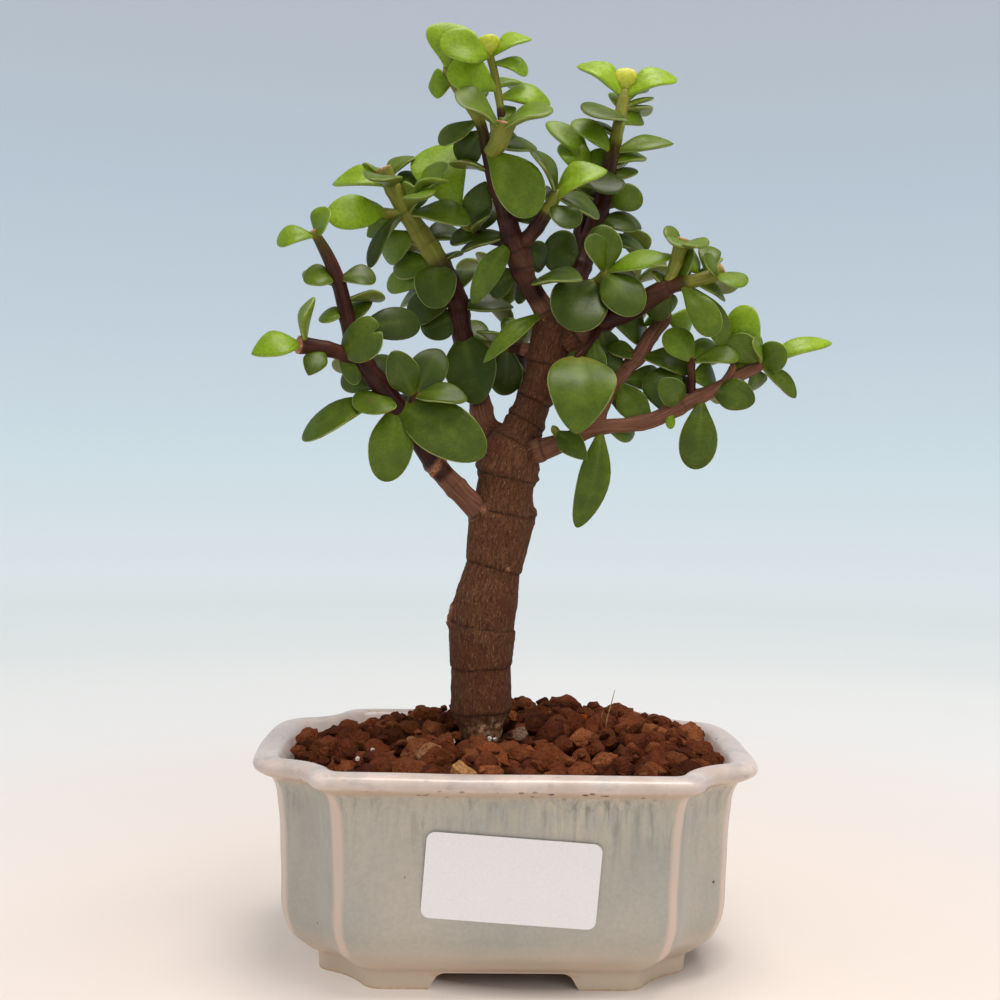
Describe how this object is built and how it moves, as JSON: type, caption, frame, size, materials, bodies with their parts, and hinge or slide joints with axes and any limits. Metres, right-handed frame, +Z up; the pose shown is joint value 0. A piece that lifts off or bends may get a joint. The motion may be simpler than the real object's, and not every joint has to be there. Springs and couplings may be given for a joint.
{
  "type": "potted dwarf jade bonsai",
  "caption": "Small bonsai tree with a ringed trunk and fat spoon-shaped leaves, in a notched glazed pot of porous granules.",
  "frame": {"origin": "on the surface that the feet stand on, under the middle of the whole part's box", "axes": "+Z up, +X to the right as seen from the front, and the front wall with the sticker faces -Y"},
  "size_m": [0.1434, 0.092, 0.2346],
  "materials": {
    "glaze": "satin grey-green glaze, cream along the rim and ridges, with fine brown specks",
    "sticker": "plain white paper sticker",
    "netting": "matte black netting",
    "granules": "rough, porous, reddish brown",
    "bark": "wrinkled grey-brown bark with ring scars",
    "foliage": "satin, waxy, mid green, on red-brown stems"
  },
  "bodies": {
    "root": {"pot": "glaze", "pot_label": "sticker", "drainage_net": "netting", "soil": "granules", "trunk": "bark", "limb_low_left": "foliage", "limb_centre_left": "foliage", "limb_leader": "foliage", "limb_upright_right": "foliage", "limb_right": "foliage", "limb_low_right": "foliage", "twig_mid_left": "foliage", "limb_back_left": "foliage", "limb_back_right": "foliage"}
  },
  "joints": []
}
